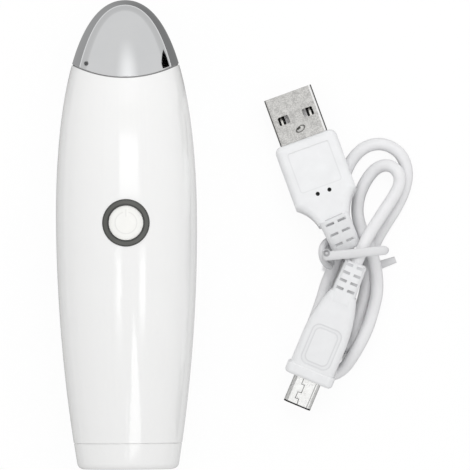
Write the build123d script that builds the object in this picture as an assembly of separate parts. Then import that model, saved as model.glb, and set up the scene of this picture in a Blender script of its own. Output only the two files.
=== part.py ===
from build123d import *
from functools import lru_cache
from math import cos, radians, sin, sqrt, tan
import os

# Heated eye massager wand with its charging lead, in millimetres.
#
# The wand lies on its back: +Y runs along it towards the metal head, +Z points out of the button, and the
# origin is on the table, under the middle of its length.  Its parts are drawn in bench axes, with the
# flat base at y = 0 and the wand's own axis at x = z = 0, and lie_down() puts them where they rest.

# ---- Wand: outer form ----------------------------------------------------------------------------------
wand_length = 113.0
belly_radius = 17.0            # the widest ring
belly_height = 60.0            # its distance from the base
base_radius = 12.1             # where the flank would meet the base
nose_flank_handle = 0.51       # Bezier handle along the flank, as a share of the nose's length
nose_crown_handle = 0.73       # Bezier handle across the tip, as a share of the belly's radius

# ---- Wand: walls and clearances ------------------------------------------------------------------------
shell_wall = 1.8
head_wall = 1.5
parting_gap = 0.06             # between the two shell halves
slip = 0.1                     # between still parts with curved faces
running = 0.05                 # between a shaft and its hole
merge = 0.3                    # how far a boss sinks into the wall that it grows from
reach = 4 * belly_radius       # any length that is certain to pass through the wand

# ---- Head and seal -------------------------------------------------------------------------------------
head_length = 18.7             # from the tip to the lowest point of the head's edge
seam_radius = 27.0             # that edge is an arc, seen from the button's side
seal_thickness = 0.5
seal_recess = 0.25
carrier_rise = 7.7             # how far the carrier reaches into the head
carrier_length = 13.5
carrier_wall = 1.5
carrier_roof = 1.5
pad_radius = 8.0
pad_thickness = 1.8
film_thickness = 0.25
film_gap = 0.05
lead_lane = 7.4                # distance of the heater leads from the axis
lead_lane_width = 2.6
thermistor_offset = 4.0
thermistor_radius = 0.9
thermistor_length = 1.6

# ---- Vibration motor -----------------------------------------------------------------------------------
motor_radius = 5.0
motor_length = 11.0
shaft_radius = 0.75
shaft_inside = 9.5             # length of the shaft inside the can
weight_radius = 3.8
weight_thickness = 2.0
weight_lift = 0.7              # gap between the can and the weight
weight_headroom = 0.3          # between the weight and the carrier's roof
weight_lip = 0.75              # how far it reaches past the shaft
boot_wall = 1.1
boot_length = 7.7
boot_offset = 2.3              # from the can's rear face
cradle_offset = 3.5
cradle_thickness = 3.0

# ---- Button --------------------------------------------------------------------------------------------
button_height = 59.3           # its distance from the base
ring_outer_radius = 5.65
ring_inner_radius = 4.28
ring_proud = 0.15
ring_flange_radius = 6.6
ring_flange_thickness = 0.8
ring_seat_gap = 0.29           # between the rim of its flange and the casing
cap_clearance = 0.13
cap_recess = 0.2
button_flange_radius = 4.9
button_flange_thickness = 0.5
button_travel = 0.4
button_stem_radius = 1.2
button_stem_length = 0.63
stem_gap = 0.05

# ---- Boards --------------------------------------------------------------------------------------------
board_thickness = 1.6
board_width = 20.0
board_inset = 1.95             # from each end of the chassis
board_screw_offset = 8.4
board_screw_inset = 3.5
switch_side = 6.0
switch_height = 3.1
plunger_radius = 1.55
plunger_inside = 1.5
plunger_left = 1.2             # how much of it still stands out when pressed
switch_corner_cut = 0.5
guide_inner_radius = 4.45
guide_wall = 0.7
guide_lift = 0.8
light_length = 1.6
light_width = 0.8
light_height = 0.6
control_chip_size = (5.0, 6.0, 1.6)
control_chip_place = -10.0     # from the button, along the wand
charge_chip_size = (3.0, 3.0, 0.9)
charge_chip_place = -18.3
small_part_size = (2.0, 1.25, 0.8)
small_part_places = (-23.3, -12.8, -9.3)
small_part_offset = 5.5
connector_size = (5.0, 3.6, 3.0)
connector_offset = 3.6
connector_inset = 0.5          # from the end of the board
solder_gap = 0.02

# ---- Chassis and battery -------------------------------------------------------------------------------
cell_edge_round = 0.5
cell_clearance = 0.15
tab_thickness = 0.3
tab_width = 4.0
chassis_width = 21.0
chassis_lift = 6.05            # from the end plate to the chassis's flange
chassis_gap = 0.55             # from its other flange to the head's carrier
chassis_end_wall = 3.5
chassis_floor = 1.2            # under the cell
chassis_post_room = 4.4        # between its floor and the casing, for the screw posts
chassis_clearance = 0.5
flange_thickness = 2.0
flange_reach = 6.0
flange_width = 9.0
foam_thickness = 0.4
foam_width = 9.0
foam_inset = 9.0               # from each end of the cell

# ---- Screws --------------------------------------------------------------------------------------------
screw_radius = 0.95
screw_hole_radius = 1.1
screw_pilot_radius = 1.0
screw_head_radius = 1.6
screw_head_height = 1.1
screw_drive_radius = 0.5
screw_drive_depth = 0.6
board_screw_length = 5.0
chassis_screw_length = 3.6
end_screw_length = 5.0
screw_boss_radius = 2.2
end_boss_length = 3.6

# ---- Base: end plate, charging socket, cap -------------------------------------------------------------
cap_height = 6.15
cap_joint_gap = 0.2
cap_inset = 0.05
cap_edge_round = 1.6
cap_floor = 1.8
spigot_length = 4.0
spigot_clearance = 0.4
spigot_wall = 1.8
cap_ring_section = 0.55
cap_ring_clearance = 0.18
cap_ring_height = 8.2
end_plate_low = 10.5
end_plate_thickness = 2.5
usb_board_thickness = 1.0
usb_board_width = 13.0
usb_board_length = 9.0
socket_width = 7.5
socket_height = 2.7
socket_depth = 5.5
socket_wall = 0.3
socket_clearance = 0.15
tongue_width = 4.6
tongue_thickness = 0.6
tongue_setback = 1.4           # behind the port's face
shelf_offset = 2.6
shelf_width = 2.4
shelf_depth = 2.6
wire_radius = 0.4
wire_bend = 1.0
wire_spacing = 1.2

# ---- Charging lead -------------------------------------------------------------------------------------
cable_diameter = 3.0

# The cable's route from the large plug to the small one, five times through the tie.
cable_route = [
    (53.2, -3.6, 6.3), (54.2, -5.9, 5.4), (54.4, -9.0, 3.7), (53.3, -12.3, 2.2), (51.3, -16.0, 1.5),
    (49.4, -19.3, 1.5), (48.1, -22.7, 1.5), (48.0, -25.6, 1.5), (49.3, -27.4, 1.5), (51.45, -28.1, 1.5),
    (53.6, -27.4, 1.5), (54.9, -25.6, 1.5), (55.1, -22.8, 1.5), (56.1, -19.6, 1.5), (57.1, -16.2, 1.5),
    (57.9, -12.9, 1.9), (58.3, -9.2, 2.6), (58.8, -5.4, 2.7), (60.3, -1.7, 2.0), (62.5, 1.9, 1.5),
    (65.2, 6.0, 1.5), (67.2, 10.1, 1.5), (68.1, 14.4, 1.5), (66.9, 18.6, 1.5), (64.0, 21.0, 1.5),
    (60.7, 21.7, 1.5), (57.4, 20.7, 1.5), (54.8, 18.2, 1.5), (53.1, 15.0, 1.5), (52.0, 11.4, 1.5),
    (51.6, 7.3, 1.5), (51.8, 3.2, 1.5), (51.8, -1.0, 1.8), (51.0, -5.1, 2.7), (49.9, -8.5, 2.0),
    (48.3, -11.8, 1.5), (47.2, -15.7, 1.5), (45.8, -19.6, 1.5), (44.5, -22.9, 1.5), (43.7, -26.6, 1.5),
    (44.2, -30.3, 1.5), (46.2, -33.4, 1.5), (49.3, -34.6, 1.5), (52.3, -32.9, 2.0), (54.4, -29.9, 3.6),
    (56.4, -26.5, 4.5), (58.1, -23.0, 4.1), (59.4, -18.9, 3.2), (60.5, -14.6, 3.4), (60.4, -10.2, 4.7),
    (59.6, -6.1, 6.0), (58.2, -2.4, 5.8), (56.6, 1.0, 3.7), (55.7, 4.6, 1.9), (56.0, 8.2, 1.5),
    (57.2, 11.4, 1.5), (58.9, 14.1, 1.5), (60.5, 15.7, 1.9), (62.7, 16.5, 2.7), (64.8, 15.8, 3.4),
    (66.1, 13.9, 3.9), (66.1, 11.6, 4.2), (64.7, 8.9, 4.4), (62.7, 6.0, 5.5), (60.5, 2.7, 7.3),
    (58.3, -0.7, 9.4), (56.8, -4.0, 9.9), (55.45, -7.2, 9.6),
]

# Large plug (USB-A), drawn with its mouth at y = 0, its cable end towards +Y and its flat face up.
large_tip = (39.16, 33.67)
large_heading = 160.4          # degrees, clockwise from +Y
large_tilt = 10.7              # nose down
large_shell_width = 12.0
large_shell_height = 4.5
large_shell_length = 12.0
large_shell_wall = 0.35
large_shell_round = 0.5
window_width = 2.6
window_length = 2.15
window_corner_round = 0.35
window_offset = 3.1
window_centre = 6.15
dimple_radius = 0.9
dimple_depth = 0.12
dimple_centre = 9.5
insulator_thickness = 1.85
insulator_setback = 0.4
contact_width = 0.5
contact_thickness = 0.9
contact_groove_width = 1.7
contact_groove_depth = 1.1
contact_length = 8.0
contact_offsets = (-3.6, -1.0, 1.0, 3.6)
large_body_width = 15.5
large_body_thickness = 7.0
large_body_end = 33.5
large_shoulder_start = 27.6
large_shoulder_waist = (5.3, 30.2)
large_neck_width = 8.0
large_corner_round = 1.6
large_edge_round = 1.5
panel_width = 10.4
panel_start = 14.6
panel_length = 10.2
panel_depth = 0.15
pin_hole_radius = 0.5
pin_hole_depth = 1.5
pin_hole_offset = 1.5
pin_hole_centre = 26.2
large_relief_length = 9.4
large_relief_width = 7.7
large_relief_thickness = 5.8
large_relief_rows = 3
large_first_row = 2.66
large_row_pitch = 2.82

# Small plug (micro-USB), drawn the same way.
small_tip = (40.81, -41.57)
small_tip_height = 5.45
small_heading = 23.1
small_tilt = 6.3
small_shell_width = 6.85
small_shell_height = 1.85
small_shell_length = 6.85
small_shell_wall = 0.25
small_shell_chamfer = 0.7
small_insulator_width = 5.2
small_insulator_thickness = 0.6
small_contact_width = 0.4
small_contact_pitch = 0.65
small_contact_count = 5
small_contact_thickness = 0.1
small_body_width = 11.2
small_flange_width = 12.2
small_flange_thickness = 6.3
small_flange_length = 2.8
small_flange_round = 0.9
small_body_thickness = 6.0
small_body_end = 29.4
small_taper_start = 17.0
small_taper_waist = (4.95, 23.6)
small_neck_width = 6.6
small_edge_round = 1.6
frame_width = 7.4
frame_line = 0.8
frame_start = 10.6
frame_length = 10.2
frame_depth = 0.15
frame_corner_round = 1.8
small_relief_length = 10.4
small_relief_width = 6.2
small_relief_thickness = 5.2
small_relief_rows = 4
small_first_row = 0.9
small_row_pitch = 2.02
relief_taper = 0.7
relief_corner_round = 1.6
relief_end_round = 0.8
slot_length = 2.1
slot_width = 0.7
slot_depth = 0.7
slot_spread = 1.55

# Twist tie round the bundle.
tie_centre = (55.2, -4.9)
tie_turn = 5.4                 # degrees
tie_width = 16.4
tie_height = 12.2
tie_thickness = 0.7
tie_strip_width = 2.1
tie_corner_round = 2.6
tie_floor_gap = 0.05
tie_tail = [(52.0, -5.2), (57.6, -9.3), (65.0, -6.3)]


# ---- Wand: forms that its parts share ------------------------------------------------------------------
def flank_radius(height, inset=0.0):
    """Radius of the wand below its belly, with the surface moved inwards by the inset."""
    sag = belly_radius - base_radius
    bow = (belly_height ** 2 + sag ** 2) / (2 * sag)
    return belly_radius - bow + sqrt((bow - inset) ** 2 - (belly_height - height) ** 2)


@lru_cache(maxsize=None)
def form(inset=0.0):
    """The wand as one solid of revolution, its surface moved inwards by the inset."""
    widest = belly_radius - inset
    tip = wand_length - inset
    foot = flank_radius(0, inset)
    waist = flank_radius(belly_height / 2, inset)
    flank = ThreePointArc((foot, 0), (waist, belly_height / 2), (widest, belly_height))
    nose = Bezier(
        (widest, belly_height),
        (widest, belly_height + nose_flank_handle * (tip - belly_height)),
        (nose_crown_handle * widest, tip),
        (0, tip),
    )
    profile = make_face([flank, nose, Line((0, tip), (0, 0)), Line((0, 0), (foot, 0))])
    return revolve(profile, Axis.Y, 360)


def slab(low, high):
    """Everything between two heights above the base."""
    return Pos(0, (low + high) / 2, 0) * Box(reach, high - low, reach)


def half_space(side, gap):
    """Everything on the button's side (+1) or the back (-1) of the parting plane, less the gap."""
    return Pos(0, wand_length / 2, side * (reach / 2 + gap)) * Box(reach, 2 * wand_length, reach)


def seam_drum(shift):
    """Cylinder whose near wall is the head's edge, moved towards the tip by the shift."""
    return Pos(0, seam_height + seam_radius, 0) * Cylinder(seam_radius - shift, reach)


def rod(radius, low, high, x=0.0, z=0.0):
    """Round bar along the wand."""
    return Pos(x, (low + high) / 2, z) * Rot(90, 0, 0) * Cylinder(radius, high - low)


def post(radius, bottom, top, x=0.0, y=0.0):
    """Round bar that points out of the button's side."""
    return Pos(x, y, (bottom + top) / 2) * Cylinder(radius, top - bottom)


def block(x_size, y_low, y_high, z_low, z_high, x=0.0):
    """Box given by its width and by its two heights along Y and along Z."""
    centre = Pos(x, (y_low + y_high) / 2, (z_low + z_high) / 2)
    return centre * Box(x_size, y_high - y_low, z_high - z_low)


def pan_screw(length):
    """Pan-head screw whose head sits on z = 0 and whose shank points down."""
    head = post(screw_head_radius, 0, screw_head_height)
    head = fillet(head.edges().group_by(Axis.Z)[-1], screw_head_height / 2)
    drive = Pos(0, 0, screw_head_height) * Box(2 * screw_drive_radius, 2 * screw_drive_radius,
                                               2 * screw_drive_depth)
    shank = post(screw_radius, -length, 0)
    return head - drive + shank


def wire(points):
    """Insulated wire along straight runs joined by round bends."""
    path = FilletPolyline(*points, radius=wire_bend)
    return sweep(Plane(path @ 0, z_dir=path % 0) * Circle(wire_radius), path=path)


# ---- Wand: sizes that follow from the ones above -------------------------------------------------------
seam_height = wand_length - head_length
carrier_high = seam_height + carrier_rise
carrier_low = carrier_high - carrier_length
carrier_inset = shell_wall + slip
carrier_inner = carrier_inset + carrier_wall
roof_low = carrier_high - carrier_roof
pad_low = carrier_high + film_gap
film_low = pad_low + pad_thickness + film_gap
spreader_low = film_low + film_thickness + film_gap
spreader_inset = head_wall + slip
weight_high = roof_low - weight_headroom
weight_low = weight_high - weight_thickness
motor_high = weight_low - weight_lift
motor_low = motor_high - motor_length
boot_low = motor_low + boot_offset
boot_radius = motor_radius + slip + boot_wall
cradle_low = motor_low + cradle_offset

# Heights above the wand's axis: the ring hangs under the casing, and the rest hangs from the ring.
ring_flange_top = sqrt((belly_radius - shell_wall) ** 2 - ring_flange_radius ** 2) - ring_seat_gap
ring_bottom = ring_flange_top - ring_flange_thickness
button_top_radius = ring_inner_radius - cap_clearance
button_flange_top = ring_bottom - slip
button_flange_low = button_flange_top - button_flange_thickness
stem_low = button_flange_low - button_stem_length
plunger_top = stem_low - stem_gap
switch_top = plunger_top - plunger_left - button_travel
guide_top = button_flange_low - button_travel - slip
board_top = switch_top - switch_height - solder_gap
board_bottom = board_top - board_thickness
cell_top = board_bottom - foam_thickness - 2 * solder_gap
chassis_bottom = chassis_post_room + shell_wall - belly_radius
cell_bottom = chassis_bottom + chassis_floor + cell_clearance
cell_radius = (cell_top - cell_bottom) / 2
cell_axis = (cell_top + cell_bottom) / 2

# Heights above the base: the battery takes the room between the end plate and the head's carrier.
end_plate_high = end_plate_low + end_plate_thickness
chassis_low = end_plate_high + chassis_lift + flange_reach
chassis_high = carrier_low - chassis_gap - flange_reach
cell_bay_low = chassis_low + chassis_end_wall
cell_bay_high = chassis_high - chassis_end_wall
cell_low = cell_bay_low + tab_thickness + cell_clearance
cell_high = cell_bay_high - tab_thickness - cell_clearance
board_low = chassis_low + board_inset
board_high = chassis_high - board_inset
chassis_top = board_bottom - solder_gap
flange_top = chassis_bottom + flange_thickness
flange_holes = (chassis_low - flange_reach / 2, chassis_high + flange_reach / 2)

shell_low = cap_height + cap_joint_gap
mouth_radius = flank_radius(shell_low, shell_wall)
spigot_radius = mouth_radius - spigot_clearance
spigot_high = shell_low + spigot_length
spigot_bore = spigot_radius - spigot_wall
ring_centre_radius = mouth_radius - cap_ring_clearance - cap_ring_section
end_boss_low = end_plate_high + parting_gap
end_boss_reach = flank_radius(end_boss_low, shell_wall) - screw_boss_radius + merge
end_boss_offset = end_boss_reach * sin(radians(45))
socket_low = end_plate_low + solder_gap
socket_high = socket_low + socket_depth
usb_board_top = -socket_height / 2 - solder_gap
usb_board_bottom = usb_board_top - usb_board_thickness
usb_board_low = end_plate_high + slip
usb_board_high = usb_board_low + usb_board_length
connector_height = board_high - connector_size[1] / 2 - connector_inset


# ---- Wand: head ----------------------------------------------------------------------------------------
def massage_head():
    """Polished metal dome that touches the skin, cut along the curved seam."""
    return (form() - form(head_wall)) & seam_drum(seal_thickness / 2)


def head_seal():
    """Soft ring that fills the seam, a little below the surface."""
    band = seam_drum(-seal_thickness / 2) - seam_drum(seal_thickness / 2)
    return (form(seal_recess) - form(shell_wall)) & band


def lead_lane_cut(low, high):
    """Slot for the heater leads."""
    return block(lead_lane_width, low, high, -lead_lane_width / 2, lead_lane_width / 2, lead_lane)


def head_carrier():
    """Cup that joins the dome to the shells, with a roof between the motor and the heater."""
    cup = form(carrier_inset) & slab(carrier_low, carrier_high)
    hollow = form(carrier_inner) & slab(carrier_low, roof_low)
    return cup - hollow - lead_lane_cut(roof_low, carrier_high)


def insulating_pad():
    """Foam disc that keeps the heat out of the body."""
    disc = rod(pad_radius, pad_low, pad_low + pad_thickness)
    return disc - lead_lane_cut(pad_low, pad_low + pad_thickness)


def heater_film():
    """Thin printed heater, with a hole for the thermistor's bead."""
    disc = rod(pad_radius, film_low, film_low + film_thickness)
    return disc - rod(thermistor_radius + slip, film_low, film_low + film_thickness, thermistor_offset)


def heat_spreader():
    """Aluminium plug that fits the dome from inside."""
    plug = form(spreader_inset) & slab(spreader_low, wand_length)
    pocket_top = spreader_low + thermistor_length + slip
    return plug - rod(thermistor_radius + slip, spreader_low, pocket_top, thermistor_offset)


def thermistor():
    """Glass bead that measures the head's temperature."""
    bead = rod(thermistor_radius, spreader_low, spreader_low + thermistor_length, thermistor_offset)
    return fillet(bead.edges(), thermistor_radius / 2)


# ---- Wand: vibration motor -----------------------------------------------------------------------------
def motor_can():
    """Motor's steel can, with a bore for the shaft."""
    can = rod(motor_radius, motor_low, motor_high)
    can = chamfer(can.edges(), slip)
    return can - rod(shaft_radius + running, motor_high - shaft_inside - running, motor_high)


def motor_shaft():
    """Steel shaft through the weight."""
    return rod(shaft_radius, motor_high - shaft_inside, weight_high + slip)


def eccentric_weight():
    """Half-round weight that makes the head vibrate."""
    disc = rod(weight_radius, weight_low, weight_high)
    keep = block(reach, weight_low, weight_high, -reach, shaft_radius + weight_lip)
    return (disc & keep) - rod(shaft_radius + solder_gap, weight_low, weight_high)


def motor_boot():
    """Rubber sleeve round the can."""
    high = boot_low + boot_length
    return rod(boot_radius, boot_low, high) - rod(motor_radius + slip, boot_low, high)


def motor_cradle():
    """Disc inside the carrier that holds the boot."""
    high = cradle_low + cradle_thickness
    disc = form(carrier_inner + slip) & slab(cradle_low, high)
    return disc - rod(boot_radius + slip, cradle_low, high) - lead_lane_cut(cradle_low, high)


# ---- Wand: shells --------------------------------------------------------------------------------------
def half_shell(side):
    """One half of the casing, from the base cap to the seam, with the bosses of the end plate."""
    wall = (form() - form(shell_wall)) & slab(shell_low, wand_length)
    wall = wall - seam_drum(-seal_thickness / 2)
    for direction in (-1, 1):
        x = direction * end_boss_offset
        z = side * end_boss_offset
        boss = rod(screw_boss_radius, end_boss_low, end_boss_low + end_boss_length, x, z)
        wall = wall + (boss & form(shell_wall / 2))
        wall = wall - rod(screw_pilot_radius, end_boss_low, end_boss_low + end_boss_length, x, z)
    return wall & half_space(side, parting_gap / 2)


def front_shell():
    """Button side of the casing."""
    hole = post(ring_outer_radius + running, 0, reach, y=button_height)
    return half_shell(1) - hole


def back_shell():
    """Back of the casing, with the two posts that carry the chassis."""
    shell = half_shell(-1)
    for height in flange_holes:
        boss = post(screw_boss_radius, -belly_radius, chassis_bottom - solder_gap, y=height)
        shell = shell + (boss & form(shell_wall / 2))
        pilot = post(screw_pilot_radius, chassis_bottom - chassis_screw_length + flange_thickness - slip,
                     chassis_bottom, y=height)
        shell = shell - (pilot & form(shell_wall / 2))
    return shell


# ---- Wand: button --------------------------------------------------------------------------------------
def button_ring():
    """Dark bezel: its top follows the casing and its flange holds it from inside."""
    tube = post(ring_outer_radius, ring_bottom, reach, y=button_height)
    flange = post(ring_flange_radius, ring_bottom, ring_flange_top, y=button_height)
    bezel = (tube & form(-ring_proud)) + flange
    return bezel - post(ring_inner_radius, ring_bottom, reach, y=button_height)


def button_cap():
    """Push button with a flange under the ring and a stem on the switch."""
    top = post(button_top_radius, button_flange_low, reach, y=button_height) & form(cap_recess)
    flange = post(button_flange_radius, button_flange_low, button_flange_top, y=button_height)
    stem = post(button_stem_radius, stem_low, button_flange_low, y=button_height)
    return top + flange + stem


def switch_body():
    """Tactile switch on the board, open at the top for its plunger."""
    case = block(switch_side, button_height - switch_side / 2, button_height + switch_side / 2,
                 board_top + solder_gap, switch_top)
    case = chamfer(case.edges().filter_by(Axis.Z), switch_corner_cut)
    well_floor = switch_top - plunger_inside - button_travel - slip
    return case - post(plunger_radius + slip, well_floor, switch_top, y=button_height)


def switch_plunger():
    """Round plunger that goes down with the button."""
    return post(plunger_radius, switch_top - plunger_inside, plunger_top, y=button_height)


def light_guide():
    """Clear collar that takes the lights' glow to the button, on two feet."""
    bottom = board_top + light_height + guide_lift
    outer = guide_inner_radius + guide_wall
    collar = post(outer, bottom, guide_top, y=button_height)
    collar = collar - post(guide_inner_radius, bottom, guide_top, y=button_height)
    for direction in (-1, 1):
        y = button_height + direction * (guide_inner_radius + guide_wall / 2)
        collar = collar + block(light_width, y - guide_wall / 2, y + guide_wall / 2,
                                board_top + solder_gap, bottom + slip)
    return collar


def indicator_lights():
    """Two small lamps under the collar, one each side of the switch."""
    low = board_top + solder_gap
    lamps = []
    for direction in (-1, 1):
        x = direction * (guide_inner_radius + guide_wall / 2)
        lamps.append(block(light_width, button_height - light_length / 2, button_height + light_length / 2,
                           low, low + light_height, x))
    return lamps


# ---- Wand: boards and what is on them ------------------------------------------------------------------
def board_screw_places():
    """Where the main board is screwed to the chassis."""
    ends = (board_low + board_screw_inset, board_high - board_screw_inset)
    return [(side * board_screw_offset, y) for side in (-1, 1) for y in ends]


def main_board():
    """Circuit board over the battery."""
    board = block(board_width, board_low, board_high, board_bottom, board_top)
    for x, y in board_screw_places():
        board = board - post(screw_hole_radius, board_bottom, board_top, x, y)
    return board


def on_board(size, x, y):
    """Part of a given size that stands on the main board."""
    bottom = board_top + solder_gap
    return block(size[0], y - size[1] / 2, y + size[1] / 2, bottom, bottom + size[2], x)


def control_chip():
    """Controller of the heat and the motor."""
    return on_board(control_chip_size, 0, button_height + control_chip_place)


def charge_chip():
    """Battery charger."""
    return on_board(charge_chip_size, 0, button_height + charge_chip_place)


def board_parts():
    """Capacitors and resistors in two rows."""
    return [on_board(small_part_size, side * small_part_offset, button_height + place)
            for side in (-1, 1) for place in small_part_places]


def lead_connectors():
    """Sockets for the motor's and the heater's leads."""
    return [on_board(connector_size, side * connector_offset, connector_height) for side in (-1, 1)]


def board_screws():
    """Four screws of the main board."""
    return [Pos(x, y, board_top + solder_gap) * pan_screw(board_screw_length)
            for x, y in board_screw_places()]


# ---- Wand: chassis and battery -------------------------------------------------------------------------
def chassis():
    """Trough that holds the battery, carries the board and is screwed to the back shell."""
    body = block(chassis_width, chassis_low, chassis_high, chassis_bottom, chassis_top)
    body = body + block(flange_width, chassis_low - flange_reach, chassis_high + flange_reach,
                        chassis_bottom, flange_top)
    body = body & form(shell_wall + chassis_clearance)
    bay = cell_radius + cell_clearance
    body = body - rod(bay, cell_bay_low, cell_bay_high, z=cell_axis)
    body = body - block(2 * bay, cell_bay_low, cell_bay_high, cell_axis, chassis_top)
    for x, y in board_screw_places():
        body = body - post(screw_pilot_radius, chassis_top - board_screw_length, chassis_top, x, y)
    for y in flange_holes:
        body = body - post(screw_hole_radius, chassis_bottom, flange_top, y=y)
    return body


def chassis_screws():
    """Two screws that hold the chassis to the back shell."""
    return [Pos(0, y, flange_top + solder_gap) * pan_screw(chassis_screw_length) for y in flange_holes]


def battery_cell():
    """Round lithium cell."""
    cell = rod(cell_radius, cell_low, cell_high, z=cell_axis)
    return fillet(cell.edges(), cell_edge_round)


def battery_tabs():
    """Nickel strips from the cell's two ends up to the board."""
    strips = []
    for low in (cell_low - tab_thickness, cell_high):
        strips.append(block(tab_width, low, low + tab_thickness, cell_axis - tab_width / 2,
                            board_bottom - solder_gap))
    return strips


def battery_foam():
    """Soft strip between the cell and the board."""
    top = board_bottom - solder_gap
    return block(foam_width, cell_low + foam_inset, cell_high - foam_inset, top - foam_thickness, top) \
        - rod(cell_radius + solder_gap, cell_low, cell_high, z=cell_axis)


# ---- Wand: leads inside --------------------------------------------------------------------------------
def motor_leads():
    """Pair of wires from the motor to the board."""
    start = motor_low - running
    middle = (motor_low + chassis_high) / 2
    entry = board_top + connector_size[2] / 2
    end = connector_height + connector_size[1] / 2 + running
    x = -connector_offset
    return [wire([(x + s, start, 0), (x + s, middle, 0), (x + s, middle, entry), (x + s, end, entry)])
            for s in (-wire_spacing / 2, wire_spacing / 2)]


def heater_leads():
    """Pair of wires from the heater film, past the motor, to the board."""
    start = film_low - running
    middle = (motor_low + chassis_high) / 2
    entry = board_top + connector_size[2] / 2
    end = connector_height + connector_size[1] / 2 + running
    x = connector_offset
    return [wire([(lead_lane, start, s), (lead_lane, middle, s),
                  (x - s, middle, entry), (x - s, end, entry)])
            for s in (-wire_spacing / 2, wire_spacing / 2)]


def usb_leads():
    """Pair of wires from the charging board to the main board."""
    low = usb_board_top + wire_radius + solder_gap
    high = board_top + wire_radius + solder_gap
    rise = (usb_board_high + chassis_low) / 2
    start = usb_board_high - 2 * wire_bend
    end = board_low + 2 * wire_bend
    return [wire([(x, start, low), (x, rise, low), (x, rise, high), (x, end, high)])
            for x in (-wire_spacing, wire_spacing)]


# ---- Wand: base ----------------------------------------------------------------------------------------
def end_plate():
    """Inner wall at the base, with the charging port and the shelf of the charging board."""
    plate = form(carrier_inset) & slab(end_plate_low, end_plate_high)
    port = block(socket_width + 2 * socket_clearance, end_plate_low, end_plate_high,
                 -socket_height / 2 - socket_clearance, socket_height / 2 + socket_clearance)
    plate = plate - port
    shelf_top = usb_board_bottom - solder_gap
    for side in (-1, 1):
        plate = plate + block(shelf_width, end_plate_high - slip, usb_board_high,
                              shelf_top - shelf_depth, shelf_top, side * shelf_offset)
        for level in (-1, 1):
            x = side * end_boss_offset
            z = level * end_boss_offset
            plate = plate - rod(screw_hole_radius, end_plate_low, end_plate_high, x, z)
            head_top = end_plate_low + screw_head_height + slip
            plate = plate - rod(screw_head_radius + slip, end_plate_low, head_top, x, z)
    return plate


def end_screws():
    """Four screws that hold the end plate to both shells."""
    seat = end_plate_low + screw_head_height + slip - solder_gap
    upright = Rot(90, 0, 0) * pan_screw(end_screw_length - screw_head_height)
    return [Pos(side * end_boss_offset, seat, level * end_boss_offset) * upright
            for side in (-1, 1) for level in (-1, 1)]


def usb_board():
    """Small board behind the charging port."""
    return block(usb_board_width, usb_board_low, usb_board_high, usb_board_bottom, usb_board_top)


def usb_socket_shell():
    """Micro-USB receptacle's metal shell, narrower on one side."""
    front = Plane.XZ.offset(-socket_low)
    outline = front * chamfered_mouth(socket_width, socket_height, small_shell_chamfer)
    inner = front * chamfered_mouth(socket_width - 2 * socket_wall, socket_height - 2 * socket_wall,
                                    small_shell_chamfer)
    return extrude(outline, -socket_depth) - extrude(inner, -socket_depth + socket_wall)


def usb_socket_tongue():
    """Plastic tongue in the receptacle."""
    return block(tongue_width, socket_low + tongue_setback, socket_high - socket_wall - solder_gap,
                 -tongue_thickness / 2, tongue_thickness / 2)


def base_cap():
    """Pull-off cap: it carries the wand's outline down to the flat base and plugs in with a spigot."""
    cap = form(cap_inset) & slab(0, cap_height)
    cap = fillet(cap.edges().group_by(Axis.Y)[0], cap_edge_round)
    cap = cap + rod(spigot_radius, cap_height - merge, spigot_high)
    cap = cap - rod(spigot_bore, cap_floor, spigot_high)
    groove = ring_centre_radius - cap_ring_section - slip
    half = cap_ring_section + slip
    band = rod(mouth_radius, cap_ring_height - half, cap_ring_height + half)
    return cap - (band - rod(groove, cap_ring_height - half, cap_ring_height + half))


def cap_ring():
    """Rubber ring that seals and holds the cap."""
    return Pos(0, cap_ring_height, 0) * Rot(90, 0, 0) * Torus(ring_centre_radius, cap_ring_section)


# ---- Lead: shared helpers ------------------------------------------------------------------------------
def chamfered_mouth(width, height, cut):
    """Outline of a micro-USB mouth: a rectangle with its two upper corners cut."""
    half = width / 2
    low = -height / 2
    high = height / 2
    return make_face(Polyline((-half, low), (half, low), (half, high - cut), (half - cut, high),
                              (cut - half, high), (-half, high - cut), close=True))


def heading_plane(tip, heading, tilt):
    """Plane of a plug: its local +Y points from the mouth to the cable."""
    flat = Vector(sin(radians(heading)), cos(radians(heading)), 0)
    along = flat * cos(radians(tilt)) + Vector(0, 0, sin(radians(tilt)))
    across = flat.cross(Vector(0, 0, 1))
    return Plane(origin=tip, x_dir=across, z_dir=across.cross(along))


def on_large_plug(shape):
    """Carry a part of the large plug to where it lies, the lower lip of its mouth on the table."""
    height = large_shell_height / 2 * cos(radians(large_tilt))
    return heading_plane((*large_tip, height), large_heading, large_tilt).location * shape


def on_small_plug(shape):
    """Carry a part of the small plug to where it lies."""
    return heading_plane((*small_tip, small_tip_height), small_heading, small_tilt).location * shape


def rounded_bar(width, thickness, corner, start, end):
    """Bar along Y with a rounded rectangular section."""
    return extrude(Plane.XZ.offset(-start) * RectangleRounded(width, thickness, corner), start - end)


def mirrored_outline(points, waist, neck_half, end):
    """Closed outline of an overmould: straight sides, then a curved shoulder to the neck on both sides."""
    right = [Line(points[i], points[i + 1]) for i in range(len(points) - 1)]
    right.append(ThreePointArc(points[-1], waist, (neck_half, end)))
    left = [mirror(edge, Plane.YZ) for edge in right]
    front = points[0][1]
    mouth = Line((-points[0][0], front), (points[0][0], front))
    neck = Line((-neck_half, end), (neck_half, end))
    return make_face(right + left + [mouth, neck])


def rims_before(body, end):
    """Edges of the upper and the lower face, but for those at the neck's end."""
    rims = body.faces().sort_by(Axis.Z)[-1].edges() + body.faces().sort_by(Axis.Z)[0].edges()
    return [edge for edge in rims if edge.center().Y < end - merge]


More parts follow.
